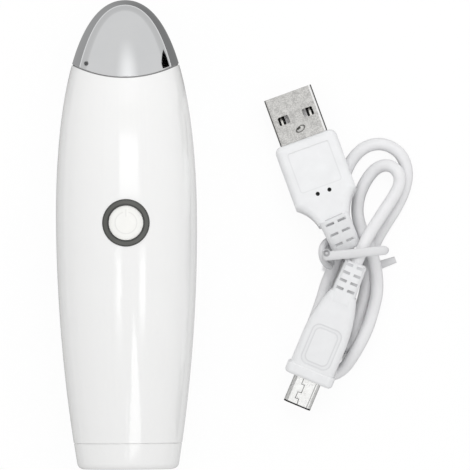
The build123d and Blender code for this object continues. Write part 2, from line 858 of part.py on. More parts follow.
def strain_relief(exit_point, next_point, width, thickness, length, rows):
    """Slotted sleeve that ends where the cable leaves it, its rows of slots placed from that end."""
    along = (Vector(*exit_point) - Vector(*next_point)).normalized()
    across = along.cross(Vector(0, 0, 1)).normalized()
    base = Plane(origin=Vector(*exit_point), x_dir=across, z_dir=along)
    wide = RectangleRounded(width, thickness, relief_corner_round)
    narrow = RectangleRounded(width - relief_taper, thickness - relief_taper, relief_corner_round)
    sleeve = loft([Plane.XY * narrow, Plane.XY.offset(length) * wide])
    sleeve = fillet(sleeve.faces().sort_by(Axis.Z)[0].edges(), relief_end_round)
    for height in rows:
        for face in (-1, 1):
            for side in (-1, 1):
                slot = Pos(side * slot_spread, face * thickness / 2, height)
                sleeve = sleeve - slot * Box(slot_length, 2 * slot_depth, slot_width)
    return base.location * sleeve


# ---- Lead: large plug ----------------------------------------------------------------------------------
def large_plug_shell():
    """Folded steel shell with two latch windows on each face and a shallow dimple."""
    shell = rounded_bar(large_shell_width, large_shell_height, large_shell_round, 0, large_shell_length)
    inner_half = large_shell_height / 2 - large_shell_wall
    shell = shell - block(large_shell_width - 2 * large_shell_wall, -merge, large_shell_length,
                          -inner_half, inner_half)
    window = RectangleRounded(window_width, window_length, window_corner_round)
    for side in (-1, 1):
        hole = Pos(side * window_offset, window_centre) * window
        shell = shell - extrude(hole, large_shell_height, both=True)
    dimple = post(dimple_radius, large_shell_height / 2 - dimple_depth, large_shell_height, y=dimple_centre)
    return on_large_plug(shell - dimple)


def large_plug_insulator():
    """Plastic tongue in the lower half of the shell, with a groove round each contact."""
    low = large_shell_wall + solder_gap - large_shell_height / 2
    top = low + insulator_thickness
    tongue = block(large_shell_width - 2 * large_shell_wall - 2 * solder_gap, insulator_setback,
                   large_shell_length - solder_gap, low, top)
    for x in contact_offsets:
        tongue = tongue - block(contact_groove_width, 2 * insulator_setback - solder_gap,
                                2 * insulator_setback + contact_length + solder_gap,
                                top - contact_groove_depth, top + merge, x)
    return on_large_plug(tongue)


def large_plug_contacts():
    """Four contact blades that stand in the grooves of the tongue."""
    top = large_shell_wall + solder_gap - large_shell_height / 2 + insulator_thickness
    low = top - contact_groove_depth + solder_gap
    strips = []
    for x in contact_offsets:
        strips.append(on_large_plug(block(contact_width, 2 * insulator_setback,
                                          2 * insulator_setback + contact_length,
                                          low, low + contact_thickness, x)))
    return strips


def large_plug_relief():
    """Strain relief of the large plug."""
    rows = [large_first_row + large_row_pitch * row for row in range(large_relief_rows)]
    return strain_relief(cable_route[0], cable_route[1], large_relief_width, large_relief_thickness,
                         large_relief_length, rows)


def large_plug_body():
    """Overmould of the large plug, with a shallow panel and two moulding holes."""
    half = large_body_width / 2
    start = large_shell_length + solder_gap
    side = [(half, start), (half, large_shoulder_start)]
    outline = mirrored_outline(side, large_shoulder_waist, large_neck_width / 2, large_body_end)
    body = extrude(outline, large_body_thickness / 2, both=True)
    front_corners = body.edges().filter_by(Axis.Z).group_by(Axis.Y)[0]
    body = fillet(front_corners, large_corner_round)
    body = fillet(rims_before(body, large_body_end), large_edge_round)
    top = large_body_thickness / 2
    body = body - block(panel_width, panel_start, panel_start + panel_length, top - panel_depth, top + merge)
    for direction in (-1, 1):
        body = body - post(pin_hole_radius, top - pin_hole_depth, top + merge,
                           direction * pin_hole_offset, pin_hole_centre)
    body = on_large_plug(body) - large_plug_relief()
    return body.solids().sort_by(SortBy.VOLUME)[-1]     # without the flake left in the relief's last slot


# ---- Lead: small plug ----------------------------------------------------------------------------------
def small_plug_shell():
    """Micro-USB shell, narrower on its upper side."""
    outer = Plane.XZ * chamfered_mouth(small_shell_width, small_shell_height, small_shell_chamfer)
    inner = Plane.XZ * chamfered_mouth(small_shell_width - 2 * small_shell_wall,
                                       small_shell_height - 2 * small_shell_wall, small_shell_chamfer)
    return on_small_plug(extrude(outer, -small_shell_length) - extrude(inner, -small_shell_length))


def small_plug_insulator():
    """Plastic tongue of the small plug, on the shell's floor."""
    low = small_shell_wall + solder_gap - small_shell_height / 2
    return on_small_plug(block(small_insulator_width, insulator_setback, small_shell_length - solder_gap,
                               low, low + small_insulator_thickness))


def small_plug_contacts():
    """Five thin contacts on the tongue."""
    low = small_shell_wall + 2 * solder_gap - small_shell_height / 2 + small_insulator_thickness
    middle = (small_contact_count - 1) / 2
    end = small_shell_length - insulator_setback
    return [on_small_plug(block(small_contact_width, 2 * insulator_setback, end, low,
                                low + small_contact_thickness, (i - middle) * small_contact_pitch))
            for i in range(small_contact_count)]


def small_plug_relief():
    """Strain relief of the small plug."""
    rows = [small_first_row + small_row_pitch * row for row in range(small_relief_rows)]
    return strain_relief(cable_route[-1], cable_route[-2], small_relief_width, small_relief_thickness,
                         small_relief_length, rows)


def small_plug_body():
    """Overmould of the small plug: a flange at the front, then a long taper to the neck."""
    start = small_shell_length + solder_gap
    side = [(small_body_width / 2, start), (small_body_width / 2, small_taper_start)]
    outline = mirrored_outline(side, small_taper_waist, small_neck_width / 2, small_body_end)
    body = extrude(outline, small_body_thickness / 2, both=True)
    body = fillet(rims_before(body, small_body_end), small_edge_round)
    flange = rounded_bar(small_flange_width, small_flange_thickness, small_edge_round, start,
                         start + small_flange_length)
    flange = fillet(flange.faces().sort_by(Axis.Y)[0].edges(), small_flange_round)
    flange = fillet(flange.faces().sort_by(Axis.Y)[-1].edges(), small_flange_round / 2)
    body = body + flange
    top = small_body_thickness / 2
    middle = Pos(0, frame_start + frame_length / 2, top - frame_depth)
    outer = RectangleRounded(frame_width, frame_length, frame_corner_round)
    inner = RectangleRounded(frame_width - 2 * frame_line, frame_length - 2 * frame_line,
                             frame_corner_round - frame_line / 2)
    body = body - extrude(middle * (outer - inner), frame_depth + merge)
    return on_small_plug(body) - small_plug_relief()


# ---- Lead: cable and tie -------------------------------------------------------------------------------
def route_radii(points):
    """Radius of the bend at each inner point: as large as its two runs allow."""
    radii = []
    for before, here, after in zip(points, points[1:], points[2:]):
        first = Vector(*here) - Vector(*before)
        second = Vector(*after) - Vector(*here)
        half_turn = radians(first.get_angle(second)) / 2
        radii.append(0.45 * min(first.length, second.length) / tan(half_turn))
    return radii


def charging_cable():
    """Round cable, whole, along its tied route."""
    radii = route_radii(cable_route)
    path = FilletPolyline(*cable_route, radius=radii)
    section = Plane(path @ 0, z_dir=path % 0) * Circle(cable_diameter / 2)
    cable = sweep(section, path=path)
    print("cable radii", [round(radius, 1) for radius in radii])
    print("cable length", round(path.length, 1), "tightest bend", round(min(radii), 2))
    print("volume over section times length", round(cable.volume / (section.area * path.length), 4))
    return cable


def cable_tie():
    """Coated strip wrapped round the bundle, with a short tail on the table."""
    ring = RectangleRounded(tie_width, tie_height, tie_corner_round)
    ring = ring - RectangleRounded(tie_width - 2 * tie_thickness, tie_height - 2 * tie_thickness,
                                   tie_corner_round - tie_thickness)
    band = extrude(Plane.XZ * ring, tie_strip_width / 2, both=True)
    centre = Pos(*tie_centre, tie_height / 2 + tie_floor_gap) * Rot(0, 0, tie_turn)
    line = Polyline(*tie_tail)
    strip = make_face(offset(line, tie_strip_width / 2, side=Side.BOTH, closed=True).edges())
    tail = extrude(Plane.XY.offset(tie_floor_gap) * strip, tie_thickness)
    return centre * band + tail


# ---- Write the parts -----------------------------------------------------------------------------------
wand_parts = [
    massage_head, head_seal, head_carrier, insulating_pad, heater_film, heat_spreader, thermistor,
    motor_can, motor_shaft, eccentric_weight, motor_boot, motor_cradle,
    front_shell, back_shell, button_ring, button_cap, switch_body, switch_plunger, light_guide,
    indicator_lights, main_board, control_chip, charge_chip, board_parts, lead_connectors, board_screws,
    chassis, chassis_screws, battery_cell, battery_tabs, battery_foam, motor_leads, heater_leads, usb_leads,
    end_plate, end_screws, usb_board, usb_socket_shell, usb_socket_tongue, base_cap, cap_ring,
]
lead_parts = [
    large_plug_shell, large_plug_insulator, large_plug_contacts, large_plug_body, large_plug_relief,
    charging_cable, cable_tie,
    small_plug_relief, small_plug_body, small_plug_shell, small_plug_insulator, small_plug_contacts,
]


def as_shape(made):
    """One shape out of a single solid or a list of separate ones."""
    return Compound(children=list(made)) if isinstance(made, list) else made


def lie_down(shape):
    """Move a wand part from its bench axes to where the wand rests."""
    return Pos(0, -wand_length / 2, belly_radius) * shape


os.makedirs("parts", exist_ok=True)
for make in wand_parts:
    export_step(lie_down(as_shape(make())), f"parts/{make.__name__}.step")
for make in lead_parts:
    export_step(as_shape(make()), f"parts/{make.__name__}.step")
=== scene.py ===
import bmesh
import bpy
import math
from mathutils import Euler, Matrix, Vector


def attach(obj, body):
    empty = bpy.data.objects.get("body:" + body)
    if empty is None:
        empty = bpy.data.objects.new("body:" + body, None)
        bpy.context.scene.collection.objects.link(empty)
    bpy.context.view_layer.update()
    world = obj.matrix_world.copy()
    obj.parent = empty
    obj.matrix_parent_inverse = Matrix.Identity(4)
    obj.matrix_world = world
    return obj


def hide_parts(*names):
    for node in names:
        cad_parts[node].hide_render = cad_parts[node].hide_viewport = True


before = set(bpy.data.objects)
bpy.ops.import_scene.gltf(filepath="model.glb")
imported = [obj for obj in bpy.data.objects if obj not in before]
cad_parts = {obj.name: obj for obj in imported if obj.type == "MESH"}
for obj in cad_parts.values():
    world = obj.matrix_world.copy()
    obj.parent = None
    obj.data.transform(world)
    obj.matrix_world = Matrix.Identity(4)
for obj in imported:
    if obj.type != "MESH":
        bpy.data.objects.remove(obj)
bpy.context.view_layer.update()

# Heated eye massager wand, lying on its back, with its tied charging lead beside it.
# Everything is in metres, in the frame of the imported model: +Y along the wand towards its metal head,
# +Z out of its button.

MM = 0.001
weld_distance = 0.0005 * MM    # points closer than this are one


def link(name, data):
    """New object in the scene, at the origin."""
    piece = bpy.data.objects.new(name, data)
    bpy.context.scene.collection.objects.link(piece)
    return piece


# ---- Camera -------------------------------------------------------------------------------------------
picture_side = 470             # pixels
pixels_per_mm = 4.13           # at the height of the lead
lead_level = 3 * MM
camera_distance = 3000 * MM
camera_reach = 100
camera_centre = (26.12 * MM, -0.30 * MM)
camera_roll = -0.39            # degrees
sensor = 36.0


def make_camera():
    """Long lens straight above the set."""
    seen = picture_side / pixels_per_mm * MM
    lens = bpy.data.cameras.new("camera")
    lens.sensor_width = sensor
    lens.lens = sensor * camera_distance / seen
    lens.clip_end = camera_reach
    camera = link("camera", lens)
    camera.location = (*camera_centre, lead_level + camera_distance)
    camera.rotation_euler = (0, 0, math.radians(camera_roll))
    bpy.context.scene.camera = camera


make_camera()

# ---- Charging cable -----------------------------------------------------------------------------------
cable_diameter = 3.0 * MM
# From the large plug to the small one, five times through the tie.
cable_route = [
    (53.2, -3.6, 6.3), (54.2, -5.9, 5.4), (54.4, -9.0, 3.7), (53.3, -12.3, 2.2), (51.3, -16.0, 1.5),
    (49.4, -19.3, 1.5), (48.1, -22.7, 1.5), (48.0, -25.6, 1.5), (49.3, -27.4, 1.5), (51.45, -28.1, 1.5),
    (53.6, -27.4, 1.5), (54.9, -25.6, 1.5), (55.1, -22.8, 1.5), (56.1, -19.6, 1.5), (57.1, -16.2, 1.5),
    (57.9, -12.9, 1.9), (58.3, -9.2, 2.6), (58.8, -5.4, 2.7), (60.3, -1.7, 2.0), (62.5, 1.9, 1.5),
    (65.2, 6.0, 1.5), (67.2, 10.1, 1.5), (68.1, 14.4, 1.5), (66.9, 18.6, 1.5), (64.0, 21.0, 1.5),
    (60.7, 21.7, 1.5), (57.4, 20.7, 1.5), (54.8, 18.2, 1.5), (53.1, 15.0, 1.5), (52.0, 11.4, 1.5),
    (51.6, 7.3, 1.5), (51.8, 3.2, 1.5), (51.8, -1.0, 1.8), (51.0, -5.1, 2.7), (49.9, -8.5, 2.0),
    (48.3, -11.8, 1.5), (47.2, -15.7, 1.5), (45.8, -19.6, 1.5), (44.5, -22.9, 1.5), (43.7, -26.6, 1.5),
    (44.2, -30.3, 1.5), (46.2, -33.4, 1.5), (49.3, -34.6, 1.5), (52.3, -32.9, 2.0), (54.4, -29.9, 3.6),
    (56.4, -26.5, 4.5), (58.1, -23.0, 4.1), (59.4, -18.9, 3.2), (60.5, -14.6, 3.4), (60.4, -10.2, 4.7),
    (59.6, -6.1, 6.0), (58.2, -2.4, 5.8), (56.6, 1.0, 3.7), (55.7, 4.6, 1.9), (56.0, 8.2, 1.5),
    (57.2, 11.4, 1.5), (58.9, 14.1, 1.5), (60.5, 15.7, 1.9), (62.7, 16.5, 2.7), (64.8, 15.8, 3.4),
    (66.1, 13.9, 3.9), (66.1, 11.6, 4.2), (64.7, 8.9, 4.4), (62.7, 6.0, 5.5), (60.5, 2.7, 7.3),
    (58.3, -0.7, 9.4), (56.8, -4.0, 9.9), (55.45, -7.2, 9.6),
]
curve_steps = 8                # along each span of a curve, and round its tube
replaced_nodes = ["massage_head", "charging_cable", "cable_tie", "large_plug_body", "small_plug_body"]


def nurbs_line(name, points, radius):
    """Smooth tube whose control points are the given ones, in millimetres, and its radius in metres."""
    curve = bpy.data.curves.new(name, "CURVE")
    curve.dimensions = "3D"
    spline = curve.splines.new("NURBS")
    spline.points.add(len(points) - 1)
    for knot, place in zip(spline.points, points):
        knot.co = (*(Vector(place) * MM), 1)
        knot.radius = radius
    spline.order_u = 3
    spline.use_endpoint_u = True
    curve.resolution_u = curve_steps
    curve.bevel_depth = 1.0
    curve.bevel_resolution = curve_steps
    curve.use_fill_caps = True
    return link(name, curve)


cable = nurbs_line("cable", cable_route, cable_diameter / 2)
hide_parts("charging_cable")
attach(cable, "wand")


def shown(name, mesh, node, body):
    """Object from a mesh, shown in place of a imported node."""
    piece = link(name, mesh)
    for face in mesh.polygons:
        face.use_smooth = True
    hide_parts(node)
    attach(piece, body)
    return piece


# ---- Metal dome ---------------------------------------------------------------------------------------
axis_level = 17.0              # height of the wand's axis over the table, mm
nose_curve = [(17.0, 3.5), (17.0, 30.53), (12.41, 56.5), (0.0, 56.5)]
seam_centre = 64.8             # middle of the circle that the seam follows, seen from above
seam_radius = 26.93
dome_wall = 0.7 * MM
dome_rings = 90
dome_sides = 240
dome_edge_round = 0.12 * MM
sharp_angle = 0.9              # radians; the rim's edges are sharper than this
seam_steps = (0.2, 0.9)        # steps of the nose's curve on either side of the seam
seam_tries = 30


def nose(step):
    """Radius and place along the axis at a step of the nose's curve, in millimetres."""
    back = 1 - step
    weights = (back ** 3, 3 * back ** 2 * step, 3 * back * step ** 2, step ** 3)
    return [sum(w * point[i] for w, point in zip(weights, nose_curve)) for i in (0, 1)]


def seam_step(across):
    """Step of the nose's curve at which the seam crosses it, for a cosine of the angle round the axis."""
    low, high = seam_steps
    for _ in range(seam_tries):
        middle = (low + high) / 2
        radius, along = nose(middle)
        seam = seam_centre - math.sqrt(seam_radius ** 2 - (radius * across) ** 2)
        low, high = (middle, high) if along < seam else (low, middle)
    return low


def make_dome():
    """Nose profile spun round the axis, its rings then slid so that the last one follows the seam."""
    shape = bmesh.new()
    places = []
    for ring in range(dome_rings + 1):
        radius, along = nose(ring / dome_rings)
        places.append(shape.verts.new((radius * MM, along * MM, axis_level * MM)))
    chain = [shape.edges.new(pair) for pair in zip(places, places[1:])]
    bmesh.ops.spin(shape, geom=places + chain, cent=(0, 0, axis_level * MM), axis=(0, 1, 0),
                   angle=2 * math.pi, steps=dome_sides, use_merge=True, use_duplicate=False)
    bmesh.ops.remove_doubles(shape, verts=shape.verts, dist=weld_distance)
    heights = [nose(ring / dome_rings)[1] * MM for ring in range(dome_rings + 1)]
    for place in shape.verts:
        ring = min(range(dome_rings + 1), key=lambda i: abs(heights[i] - place.co.y))
        out = Vector((place.co.x, 0, place.co.z - axis_level * MM))
        if out.length < 2 * weld_distance:
            continue
        out.normalize()
        first = seam_step(out.x)
        radius, along = nose(first + (1 - first) * ring / dome_rings)
        place.co = Vector((0, along * MM, axis_level * MM)) + out * radius * MM
    bmesh.ops.recalc_face_normals(shape, faces=shape.faces)
    bmesh.ops.solidify(shape, geom=shape.faces[:], thickness=dome_wall)
    bmesh.ops.recalc_face_normals(shape, faces=shape.faces)
    rim = [edge for edge in shape.edges
           if len(edge.link_faces) == 2 and edge.calc_face_angle() > sharp_angle]
    bmesh.ops.bevel(shape, geom=rim, offset=dome_edge_round, segments=3, profile=0.5, affect="EDGES",
                    material=-1)
    mesh = bpy.data.meshes.new("head_dome")
    shape.to_mesh(mesh)
    shape.free()
    return shown("head_dome", mesh, "massage_head", "wand")


dome = make_dome()


# ---- Plug bodies --------------------------------------------------------------------------------------
large_tip = (39.16, 33.67, 2.211)
large_turn = (math.radians(10.7), 0, math.radians(-160.4))
small_tip = (40.81, -41.57, 5.45)
small_turn = (math.radians(6.3), 0, math.radians(-23.1))
large_thinning = (0.17, 25.0, 33.5)    # share of the thickness lost, from and to these distances, mm
small_thinning = (0.1, 20.0, 29.0)


def smooth_step(value, low, high):
    """0 below the first limit, 1 above the second, with a smooth step between them."""
    share = min(1, max(0, (value - low) / (high - low)))
    return share * share * (3 - 2 * share)


def thinned_copy(name, node, place, turn, thinning):
    """Merged copy of a packed plug body, thinner towards its neck, where the strain relief leaves it."""
    loss, start, end = thinning
    shape = bmesh.new()
    shape.from_mesh(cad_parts[node].data)
    bmesh.ops.remove_doubles(shape, verts=shape.verts, dist=weld_distance)
    axes = Matrix.LocRotScale(Vector(place) * MM, Euler(turn), None)
    back = axes.inverted()
    for point in shape.verts:
        x, along, z = back @ point.co / MM
        z *= 1 - loss * smooth_step(along, start, end)
        point.co = axes @ (Vector((x, along, z)) * MM)
    mesh = bpy.data.meshes.new(name)
    shape.to_mesh(mesh)
    shape.free()
    return shown(name, mesh, node, "wand")


large_body = thinned_copy("large_body", "large_plug_body", large_tip, large_turn, large_thinning)
small_body = thinned_copy("small_body", "small_plug_body", small_tip, small_turn, small_thinning)


# ---- Lip of the base cap -------------------------------------------------------------------------------
lip_radii = (12.2, 12.88)      # mm; just under the surface of the casing
lip_reach = (-50.35, -50.17)   # along the wand, across the joint between the cap and the shells
lip_steps = 180


def make_cap_lip():
    """Thin step on the cap's rim, seen down the joint: a rectangle spun round the wand's axis."""
    shape = bmesh.new()
    inner, outer = lip_radii
    low, high = lip_reach
    corners = [(inner, low), (outer, low), (outer, high), (inner, high)]
    places = [shape.verts.new((radius * MM, along * MM, axis_level * MM)) for radius, along in corners]
    sides = [shape.edges.new(pair) for pair in zip(places, places[1:] + places[:1])]
    bmesh.ops.spin(shape, geom=places + sides, cent=(0, 0, axis_level * MM), axis=(0, 1, 0),
                   angle=2 * math.pi, steps=lip_steps, use_merge=True, use_duplicate=False)
    bmesh.ops.remove_doubles(shape, verts=shape.verts, dist=weld_distance)
    bmesh.ops.recalc_face_normals(shape, faces=shape.faces)
    mesh = bpy.data.meshes.new("cap_lip")
    shape.to_mesh(mesh)
    shape.free()
    piece = link("cap_lip", mesh)
    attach(piece, "cap")
    return piece


cap_lip = make_cap_lip()


# ---- Cable tie ----------------------------------------------------------------------------------------
tie_place = (55.2, -4.9, 6.15)         # mm
tie_turn = 5.4                         # degrees
wire_end = (48.2, -4.85)               # where the strip's wire sticks out of its end, mm
eye_height = 8.4
eye_radius = 0.62
ring_narrowing = (0.4, 7.0, 8.1)       # share of its width that the ring loses at its right end, mm
end_taper = 0.75                       # radius of a strand's far end, as a share


def strand(points, radius, cyclic=False, squash=(1, 1, 1), move=None, narrowing=(0, 0, 1)):
    """Mesh of a rounded strand along the points, squashed, narrowed at its right end and then moved."""
    loss, start, end = narrowing
    line = nurbs_line("strand", points, radius * MM)
    line.data.splines[0].use_cyclic_u = cyclic
    line.data.splines[0].use_endpoint_u = not cyclic
    if not cyclic:
        line.data.splines[0].points[-1].radius = end_taper * radius * MM
    bpy.context.view_layer.update()
    mesh = bpy.data.meshes.new_from_object(line.evaluated_get(bpy.context.evaluated_depsgraph_get()))
    mesh.transform(Matrix.Diagonal((*squash, 1)))
    for point in mesh.vertices:
        point.co.y *= 1 - loss * smooth_step(point.co.x / MM, start, end)
    mesh.transform(move or Matrix())
    curve = line.data
    bpy.data.objects.remove(line)
    bpy.data.curves.remove(curve)
    return mesh


def make_tie():
    """Coated strip: a ring round the bundle, a loop with an eye beside it and the loose tail."""
    turn = Matrix.Rotation(math.radians(tie_turn), 4, "Z")
    place = Matrix.Translation(Vector(tie_place) * MM) @ turn
    ring = [(7.65, 0, 0), (7.65, 0, 3.6), (7.45, 0, 5.2), (6.2, 0, 5.6), (3.4, 0, 5.6), (-3.4, 0, 5.6),
            (-6.2, 0, 5.6), (-7.45, 0, 5.2), (-7.65, 0, 3.6), (-7.65, 0, -3.6), (-7.45, 0, -5.2),
            (-5.5, 0, -5.6), (5.5, 0, -5.6), (7.45, 0, -5.2), (7.65, 0, -3.6)]
    loop = [(48.9, -1.6, 5.2), (47.9, -2.2, 6.2), (47.1, -3.5, 7.2), (47.0, -5.2, 7.4), (47.5, -6.8, 6.6),
            (48.6, -8.0, 5.4), (49.3, -8.3, 4.6)]
    inner_loop = [(49.3, -1.9, 3.6), (48.7, -3.2, 4.6), (48.6, -4.8, 4.9), (48.9, -6.2, 4.3),
                  (49.6, -7.6, 3.4)]
    square = [(1, 0), (1, 1), (0, 1), (-1, 1), (-1, 0), (-1, -1), (0, -1), (1, -1)]
    eye = [(eye_radius * x, eye_radius * y, 0) for x, y in square]
    tail = [(52.4, -5.6, 1.2), (54.4, -7.6, 1.2), (57.6, -9.0, 1.2), (61.3, -7.8, 1.2), (65.0, -6.5, 1.2)]
    meshes = [
        strand(ring, 0.5, True, (1, 2.2, 1), place, ring_narrowing),
        strand(loop, 0.8),
        strand(inner_loop, 0.9),
        strand(eye, 0.3, True, (1, 1, 1), Matrix.Translation(Vector((*wire_end, eye_height)) * MM)),
        strand(tail, 1.05, False, (1, 1, 0.45)),
    ]
    shape = bmesh.new()
    for mesh in meshes:
        shape.from_mesh(mesh)
        bpy.data.meshes.remove(mesh)
    joined = bpy.data.meshes.new("tie")
    shape.to_mesh(joined)
    shape.free()
    return shown("tie", joined, "cable_tie", "wand")


tie = make_tie()


# ---- Shader maths -------------------------------------------------------------------------------------
class Value:
    """A shader socket that Python's own operators work on."""

    def __init__(self, finish, socket):
        self.finish = finish
        self.socket = socket

    def maths(self, operation, first, second=0.0, clamp=False):
        settings = {"operation": operation, "use_clamp": clamp}
        return self.finish.node("ShaderNodeMath", settings, {0: first, 1: second})

    def __add__(self, other):
        return self.maths("ADD", self, other)

    def __sub__(self, other):
        return self.maths("SUBTRACT", self, other)

    def __mul__(self, other):
        return self.maths("MULTIPLY", self, other)

    def __truediv__(self, other):
        return self.maths("DIVIDE", self, other)

    def __pow__(self, other):
        return self.maths("POWER", self, other)

    def __rsub__(self, other):
        return self.maths("SUBTRACT", other, self)

    __radd__ = __add__
    __rmul__ = __mul__

    def __abs__(self):
        return self.maths("ABSOLUTE", self)

    def clamped(self):
        return self.maths("ADD", self, 0.0, clamp=True)

    def between(self, low, high):
        """0 below the first value, 1 above the second, with a smooth step between them."""
        settings = {"interpolation_type": "SMOOTHSTEP"}
        return self.finish.node("ShaderNodeMapRange", settings, {0: self, 1: low, 2: high})


class Finish:
    """A procedural material round one Principled shader."""

    def __init__(self, name, **fixed):
        self.material = bpy.data.materials.new(name)
        self.material.use_nodes = True
        self.nodes = self.material.node_tree.nodes
        self.links = self.material.node_tree.links
        self.shader = self.nodes["Principled BSDF"]
        for socket, value in fixed.items():
            self.feed(self.shader.inputs[socket.replace("_", " ")], value)
        self.place = self.node("ShaderNodeTexCoord", output="Object")

    def feed(self, socket, value):
        if isinstance(value, Value):
            self.links.new(value.socket, socket)
        elif socket.type == "RGBA" and len(value) == 3:
            socket.default_value = (*value, 1)
        else:
            socket.default_value = value

    def node(self, kind, settings=None, values=None, output=0):
        """A node with its settings made first, then the values or links of its sockets."""
        made = self.nodes.new(kind)
        for setting, value in (settings or {}).items():
            if setting == "stops":
                ramp = made.color_ramp
                for position, colour in value[1:-1]:
                    ramp.elements.new(position)
                for element, (position, colour) in zip(ramp.elements, value):
                    element.position = position
                    element.color = (*colour, 1)
            else:
                setattr(made, setting, value)
        for socket, value in (values or {}).items():
            self.feed(made.inputs[socket], value)
        return Value(self, made.outputs[output])

    def noise(self, size, detail=2.0, roughness=0.5, place=None):
        """Cloudy noise from 0 to 1 whose lumps are about the given size."""
        values = {"Vector": place or self.place, "Scale": 1 / size, "Detail": detail, "Roughness": roughness}
        return self.node("ShaderNodeTexNoise", None, values)

    def blend(self, factor, first, second):
        """Colour mix."""
        settings = {"data_type": "RGBA"}
        return self.node("ShaderNodeMix", settings, {0: factor, 6: first, 7: second}, output=2)

    def split(self, vector=None):
        """The three numbers of a vector."""
        whole = self.node("ShaderNodeSeparateXYZ", None, {0: vector or self.place})
        outputs = whole.socket.node.outputs
        return [Value(self, outputs[i]) for i in range(3)]

    def local(self, place, turn):
        """The three numbers of a point in the axes of a turned piece, in metres."""
        values = {"Vector": self.place, "Location": Vector(place) * MM, "Rotation": turn}
        return self.split(self.node("ShaderNodeMapping", {"vector_type": "TEXTURE"}, values))

    def stroke(self, u, v, points, width):
        """1 on a line through the points of a plane, 0 beside it."""
        inked = None
        for (u0, v0), (u1, v1) in zip(points, points[1:]):
            length = math.hypot(u1 - u0, v1 - v0)
            du, dv = (u1 - u0) / length, (v1 - v0) / length
            along = (u - u0 * MM) * du + (v - v0 * MM) * dv
            aside = abs((u - u0 * MM) * dv - (v - v0 * MM) * du)
            past = abs(along - length / 2 * MM) - length / 2 * MM
            reach = self.node("ShaderNodeMath", {"operation": "MAXIMUM"}, {0: aside, 1: past})
            ink = reach.between(width * MM, width / 2 * MM)
            inked = inked.maths("MAXIMUM", inked, ink) if inked else ink
        return inked

    def bump(self, height, depth, strength=1.0):
        """Fine relief, with the depth of the height's whole range in metres."""
        values = {"Height": height, "Distance": depth, "Strength": strength}
        self.feed(self.shader.inputs["Normal"], self.node("ShaderNodeBump", None, values))
        return self

    def base(self):
        """The colour that feeds the shader so far."""
        return Value(self, self.shader.inputs["Base Color"].links[0].from_socket)

    def set(self, **varying):
        for socket, value in varying.items():
            self.feed(self.shader.inputs[socket.replace("_", " ")], value)
        return self

    def on(self, *pieces):
        for piece in pieces:
            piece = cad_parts[piece] if isinstance(piece, str) else piece
            piece.data.materials.clear()
            piece.data.materials.append(self.material)
        return self


# ---- Finishes -----------------------------------------------------------------------------------------
casing_white = (0.90, 0.90, 0.895)
lead_white = (0.84, 0.845, 0.855)
near_black = (0.02, 0.02, 0.02)


def polished_metal():
    """Mirror-polished dome, very slightly hazy."""
    finish = Finish("polished_metal", Metallic=1.0)
    haze = finish.noise(6 * MM, 3.0)
    finish.set(Base_Color=finish.blend(haze, (0.80, 0.81, 0.82), (0.86, 0.865, 0.87)))
    finish.set(Roughness=haze * 0.05 + 0.035)
    return finish


def glossy_white(name, ripple=0.006 * MM):
    """Injection-moulded gloss plastic."""
    finish = Finish(name, Coat_Weight=0.5, Coat_Roughness=0.03, IOR=1.5)
    cloud = finish.noise(9 * MM, 3.0)
    shade = tuple(c * 0.975 for c in casing_white)
    finish.set(Base_Color=finish.blend(cloud, casing_white, shade))
    finish.set(Roughness=cloud * 0.04 + 0.09)
    return finish.bump(finish.noise(4 * MM, 1.0), ripple, 0.3)


def moulded(name, colour, roughness=0.45, grain=0.25 * MM, depth=0.01 * MM):
    """Plain moulded plastic or rubber with a fine grain."""
    finish = Finish(name)
    cloud = finish.noise(grain * 12, 3.0)
    light = tuple(min(1, c * 1.03) for c in colour)
    dark = tuple(c * 0.93 for c in colour)
    finish.set(Base_Color=finish.blend(cloud, light, dark))
    finish.set(Roughness=cloud * 0.1 + (roughness - 0.05))
    return finish.bump(finish.noise(grain, 2.0), depth, 0.6)


def plated(name, colour, roughness=0.3, grain=0.12 * MM, speck=0.78):
    """Plated or turned metal with a fine grain, its dark specks a share of the colour."""
    finish = Finish(name, Metallic=1.0)
    speckle = finish.noise(grain, 3.0, 0.7)
    cloud = finish.noise(1.6 * MM, 3.0)
    mixed = speckle * 0.7 + cloud * 0.3
    dark = tuple(c * speck for c in colour)
    finish.set(Base_Color=finish.blend(mixed.between(0.35, 0.65), dark, colour))
    finish.set(Roughness=cloud * 0.15 + (roughness - 0.07))
    return finish.bump(speckle, 0.006 * MM, 0.5)


def soften(piece, angle=30.0):
    """Smooth shading that keeps the edges sharper than the angle."""
    for face in piece.data.polygons:
        face.use_smooth = True
    weld = piece.modifiers.new("weld", "WELD")
    weld.merge_threshold = weld_distance
    edges = piece.modifiers.new("edges", "EDGE_SPLIT")
    edges.split_angle = math.radians(angle)
    piece.modifiers.new("normals", "WEIGHTED_NORMAL").keep_sharp = True


small_seam = [(-0.95, 7.0), (-0.93, 5.3), (-0.17, 5.3), (-0.13, 3.35), (-1.06, 3.2), (-1.06, 1.65),
              (-0.2, 1.65), (-0.05, 0.2)]
button_place = (0.0, 2.8)
catch_place = 9.45             # middle of the stamped catch, from the plug's mouth, mm
catch_turn = (0.94, 0.34)      # cosine and sine of its turn
catch_size = (1.15, 0.62)      # half its length and width, as shares of its outline


